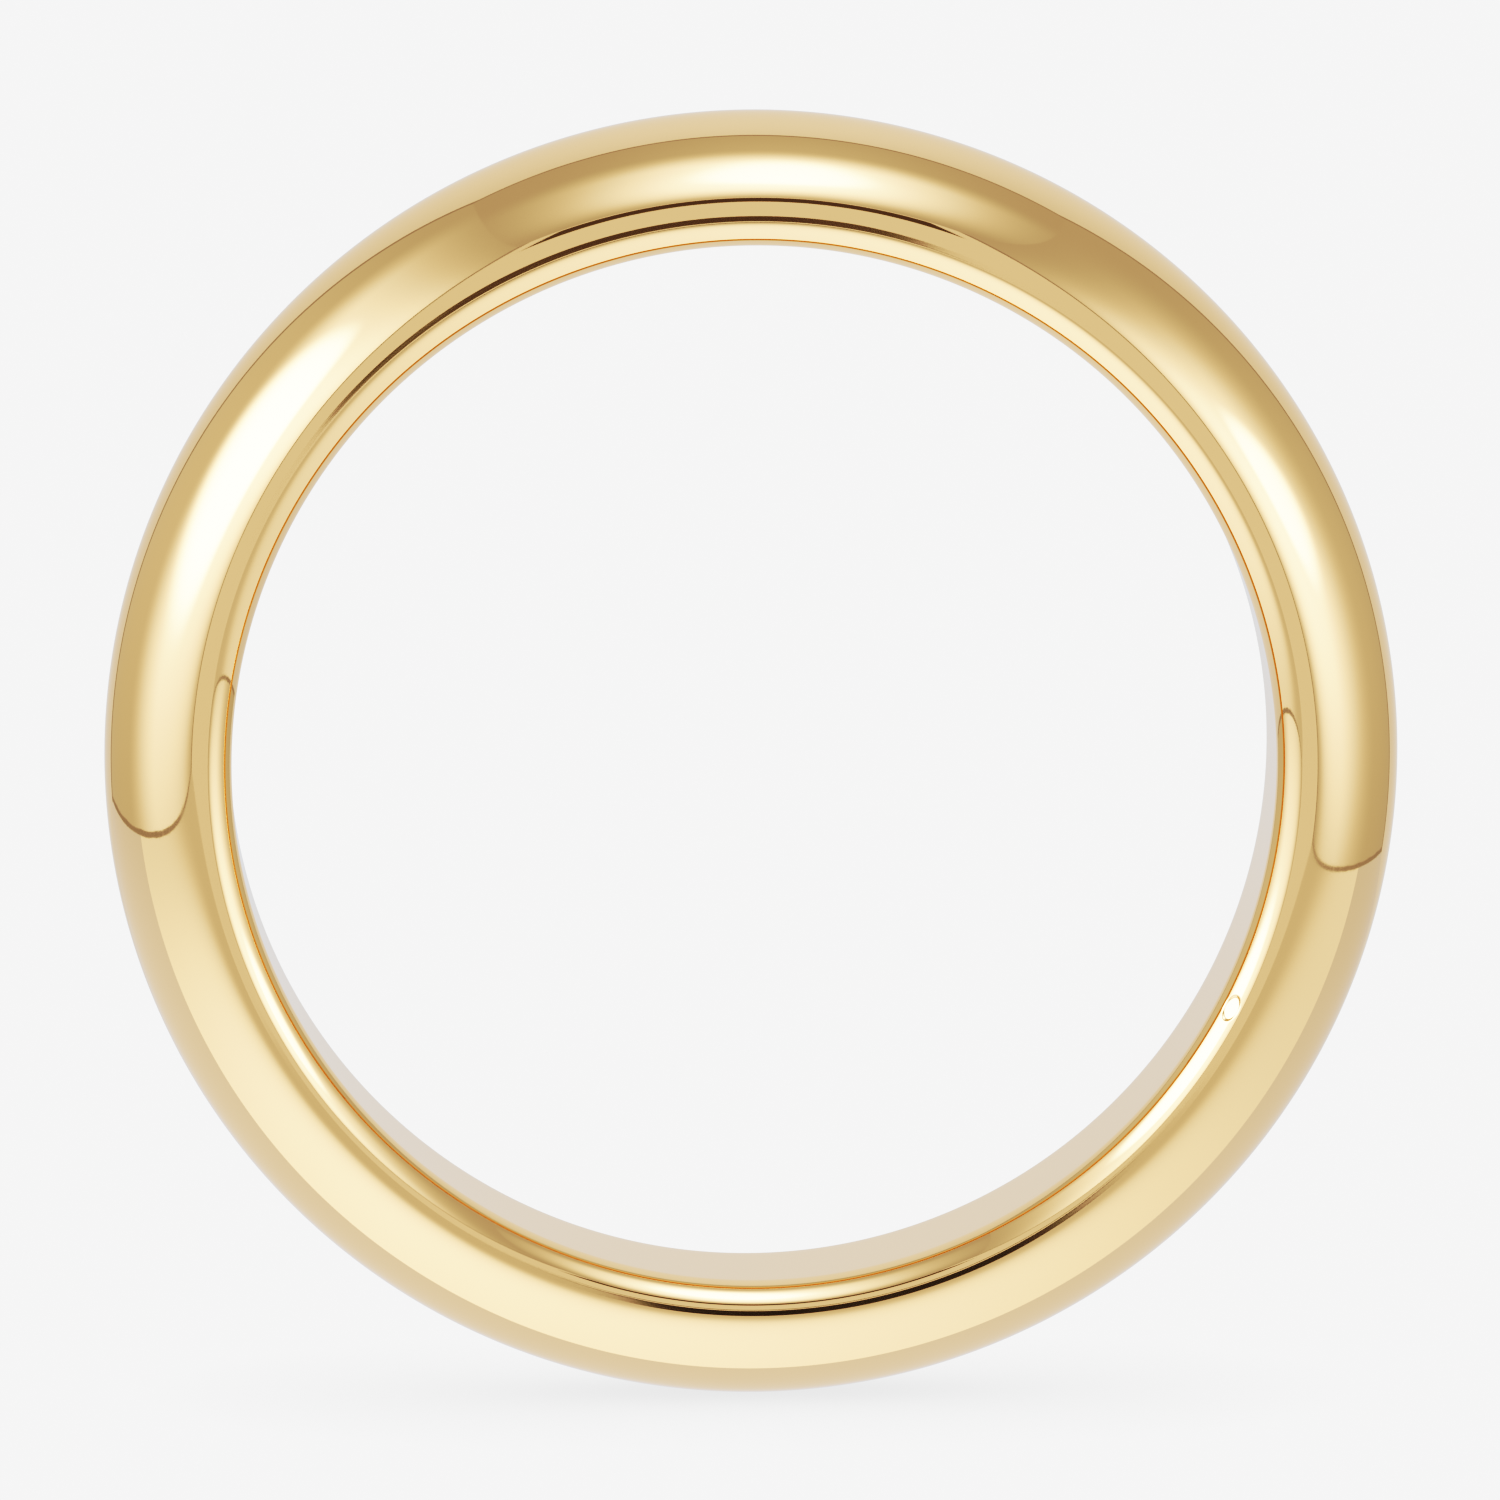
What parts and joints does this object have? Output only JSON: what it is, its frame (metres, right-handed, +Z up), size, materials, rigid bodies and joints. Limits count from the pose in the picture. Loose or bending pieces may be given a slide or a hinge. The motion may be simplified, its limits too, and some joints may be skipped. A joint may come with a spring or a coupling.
{
  "type": "wedding band",
  "caption": "Plain one-piece wedding band with a domed outside, straight bore and rounded inner edges.",
  "frame": {"origin": "centre of the finger bore, halfway across the band's width", "axes": "+Y along the finger through the bore, away from the front face; +Z up, so the band stands on its rim; +X to the right seen from the front"},
  "size_m": [0.0216, 0.0036, 0.0216],
  "materials": {
    "gold": "polished"
  },
  "bodies": {
    "root": {"band": "gold"}
  },
  "joints": []
}
